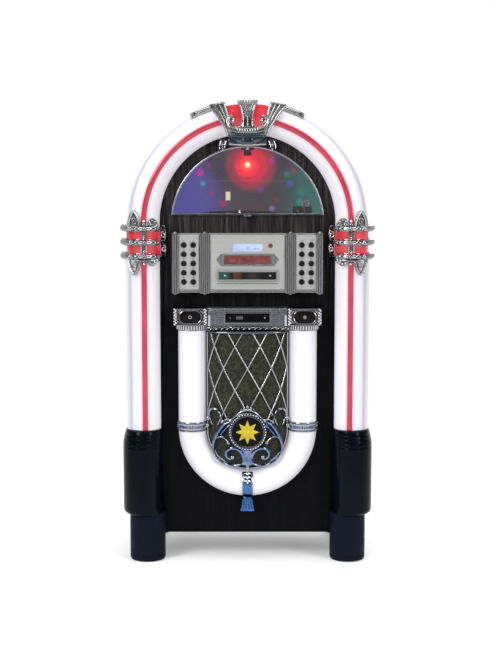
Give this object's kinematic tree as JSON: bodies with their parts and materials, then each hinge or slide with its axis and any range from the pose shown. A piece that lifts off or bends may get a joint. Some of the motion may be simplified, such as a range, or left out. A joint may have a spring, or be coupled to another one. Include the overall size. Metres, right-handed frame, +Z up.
{
  "type": "jukebox",
  "caption": "Free-standing arched jukebox: lit tube arch, lift-up window over a turntable, button console with disc drawer, U-shaped tube round a lattice grille.",
  "frame": {"origin": "on the floor, under the middle of the overall width and depth", "axes": "+Z up, front towards -Y, +X to the viewer's right seen from the front"},
  "size_m": [0.6322, 0.373, 1.1614],
  "materials": {
    "black_ash": "black-stained ash veneer, satin",
    "gloss_black": "gloss black moulding",
    "matte_black": "matt black plastic",
    "lit_white": "translucent white diffuser, lit",
    "lens_red": "clear red lens, lit",
    "chrome": "bright chrome plate",
    "console_grey": "satin silver-grey paint",
    "steel": "brushed",
    "pane": "clear, lightly tinted",
    "grille_fabric": "dark olive speaker cloth"
  },
  "bodies": {
    "cabinet": {"amplifier_box": "steel", "base_board": "black_ash", "boot_left": "gloss_black", "boot_right": "gloss_black", "cabinet_shell": "black_ash", "clasp_left": "chrome", "clasp_lens_left": "lens_red", "clasp_lens_right": "lens_red", "clasp_right": "chrome", "control_fascia": "console_grey", "crown": "chrome", "crown_lens": "lens_red", "disc_drive": "steel", "display_board": "matte_black", "front_panel": "black_ash", "grille_cloth": "grille_fabric", "lamp_socket": "chrome", "lattice_grille": "chrome", "light_tube_left": "lit_white", "light_tube_right": "lit_white", "loudspeaker": "matte_black", "mains_inlet": "matte_black", "medallion": "matte_black", "port_console": "chrome", "port_plate": "matte_black", "rear_panel": "matte_black", "scroll_ornament": "chrome", "turntable_deck": "matte_black", "turntable_shelf": "black_ash", "u_tube": "lit_white", "window_hinge": "chrome"},
    "window": {"window_frame": "chrome", "window_pane": "pane"},
    "turntable_platter": {"platter": "matte_black"},
    "tonearm_base": {"tonearm_pivot": "steel"},
    "arm": {"tonearm": "steel"},
    "lamp": {"lamp_ball": "lens_red"},
    "disc_drawer": {"disc_tray": "gloss_black"},
    "power_switch": {"power_button": "matte_black"},
    "light_switch": {"light_button": "matte_black"},
    "song_button_01_key": {"song_button_01": "matte_black"},
    "song_button_02_key": {"song_button_02": "matte_black"},
    "song_button_03_key": {"song_button_03": "matte_black"},
    "song_button_04_key": {"song_button_04": "matte_black"},
    "song_button_05_key": {"song_button_05": "matte_black"},
    "song_button_06_key": {"song_button_06": "matte_black"},
    "song_button_07_key": {"song_button_07": "matte_black"},
    "song_button_08_key": {"song_button_08": "matte_black"},
    "song_button_09_key": {"song_button_09": "matte_black"},
    "song_button_10_key": {"song_button_10": "matte_black"},
    "song_button_11_key": {"song_button_11": "matte_black"},
    "song_button_12_key": {"song_button_12": "matte_black"},
    "song_button_13_key": {"song_button_13": "matte_black"},
    "song_button_14_key": {"song_button_14": "matte_black"},
    "song_button_15_key": {"song_button_15": "matte_black"},
    "song_button_16_key": {"song_button_16": "matte_black"},
    "song_button_17_key": {"song_button_17": "matte_black"},
    "song_button_18_key": {"song_button_18": "matte_black"},
    "song_button_19_key": {"song_button_19": "matte_black"},
    "song_button_20_key": {"song_button_20": "matte_black"}
  },
  "joints": [
    {"name": "window_lift", "type": "hinge", "parent": "cabinet", "child": "window", "pos_m": [0, -0.1256, 1.0535], "axis": [-1, 0, 0], "range_deg": [0, 80]},
    {"name": "platter_spin", "type": "hinge", "parent": "cabinet", "child": "turntable_platter", "pos_m": [-0.02, 0.01, 0.865], "axis": [0, 0, 1], "continuous": true},
    {"name": "tonearm_swing", "type": "hinge", "parent": "cabinet", "child": "tonearm_base", "pos_m": [0.153, 0.075, 0.865], "axis": [0, 0, -1], "range_deg": [0, 50]},
    {"name": "tonearm_lift", "type": "hinge", "parent": "tonearm_base", "child": "arm", "pos_m": [0.153, 0.075, 0.8943], "axis": [-1, 0, 0], "range_deg": [0, 12]},
    {"name": "lamp_spin", "type": "hinge", "parent": "cabinet", "child": "lamp", "pos_m": [0, 0.03, 0.992], "axis": [0, 0, 1], "continuous": true},
    {"name": "disc_drawer_slide", "type": "slide", "parent": "cabinet", "child": "disc_drawer", "axis": [0, -1, 0], "range_m": [0, 0.135]},
    {"name": "power_press", "type": "slide", "parent": "cabinet", "child": "power_switch", "axis": [0, 1, 0], "range_m": [0, 0.002], "stiffness_N_per_m": 400},
    {"name": "light_press", "type": "slide", "parent": "cabinet", "child": "light_switch", "axis": [0, 1, 0], "range_m": [0, 0.002], "stiffness_N_per_m": 400},
    {"name": "song_button_01_press", "type": "slide", "parent": "cabinet", "child": "song_button_01_key", "axis": [0, 1, 0], "range_m": [0, 0.002], "stiffness_N_per_m": 250},
    {"name": "song_button_02_press", "type": "slide", "parent": "cabinet", "child": "song_button_02_key", "axis": [0, 1, 0], "range_m": [0, 0.002], "stiffness_N_per_m": 250},
    {"name": "song_button_03_press", "type": "slide", "parent": "cabinet", "child": "song_button_03_key", "axis": [0, 1, 0], "range_m": [0, 0.002], "stiffness_N_per_m": 250},
    {"name": "song_button_04_press", "type": "slide", "parent": "cabinet", "child": "song_button_04_key", "axis": [0, 1, 0], "range_m": [0, 0.002], "stiffness_N_per_m": 250},
    {"name": "song_button_05_press", "type": "slide", "parent": "cabinet", "child": "song_button_05_key", "axis": [0, 1, 0], "range_m": [0, 0.002], "stiffness_N_per_m": 250},
    {"name": "song_button_06_press", "type": "slide", "parent": "cabinet", "child": "song_button_06_key", "axis": [0, 1, 0], "range_m": [0, 0.002], "stiffness_N_per_m": 250},
    {"name": "song_button_07_press", "type": "slide", "parent": "cabinet", "child": "song_button_07_key", "axis": [0, 1, 0], "range_m": [0, 0.002], "stiffness_N_per_m": 250},
    {"name": "song_button_08_press", "type": "slide", "parent": "cabinet", "child": "song_button_08_key", "axis": [0, 1, 0], "range_m": [0, 0.002], "stiffness_N_per_m": 250},
    {"name": "song_button_09_press", "type": "slide", "parent": "cabinet", "child": "song_button_09_key", "axis": [0, 1, 0], "range_m": [0, 0.002], "stiffness_N_per_m": 250},
    {"name": "song_button_10_press", "type": "slide", "parent": "cabinet", "child": "song_button_10_key", "axis": [0, 1, 0], "range_m": [0, 0.002], "stiffness_N_per_m": 250},
    {"name": "song_button_11_press", "type": "slide", "parent": "cabinet", "child": "song_button_11_key", "axis": [0, 1, 0], "range_m": [0, 0.002], "stiffness_N_per_m": 250},
    {"name": "song_button_12_press", "type": "slide", "parent": "cabinet", "child": "song_button_12_key", "axis": [0, 1, 0], "range_m": [0, 0.002], "stiffness_N_per_m": 250},
    {"name": "song_button_13_press", "type": "slide", "parent": "cabinet", "child": "song_button_13_key", "axis": [0, 1, 0], "range_m": [0, 0.002], "stiffness_N_per_m": 250},
    {"name": "song_button_14_press", "type": "slide", "parent": "cabinet", "child": "song_button_14_key", "axis": [0, 1, 0], "range_m": [0, 0.002], "stiffness_N_per_m": 250},
    {"name": "song_button_15_press", "type": "slide", "parent": "cabinet", "child": "song_button_15_key", "axis": [0, 1, 0], "range_m": [0, 0.002], "stiffness_N_per_m": 250},
    {"name": "song_button_16_press", "type": "slide", "parent": "cabinet", "child": "song_button_16_key", "axis": [0, 1, 0], "range_m": [0, 0.002], "stiffness_N_per_m": 250},
    {"name": "song_button_17_press", "type": "slide", "parent": "cabinet", "child": "song_button_17_key", "axis": [0, 1, 0], "range_m": [0, 0.002], "stiffness_N_per_m": 250},
    {"name": "song_button_18_press", "type": "slide", "parent": "cabinet", "child": "song_button_18_key", "axis": [0, 1, 0], "range_m": [0, 0.002], "stiffness_N_per_m": 250},
    {"name": "song_button_19_press", "type": "slide", "parent": "cabinet", "child": "song_button_19_key", "axis": [0, 1, 0], "range_m": [0, 0.002], "stiffness_N_per_m": 250},
    {"name": "song_button_20_press", "type": "slide", "parent": "cabinet", "child": "song_button_20_key", "axis": [0, 1, 0], "range_m": [0, 0.002], "stiffness_N_per_m": 250}
  ]
}
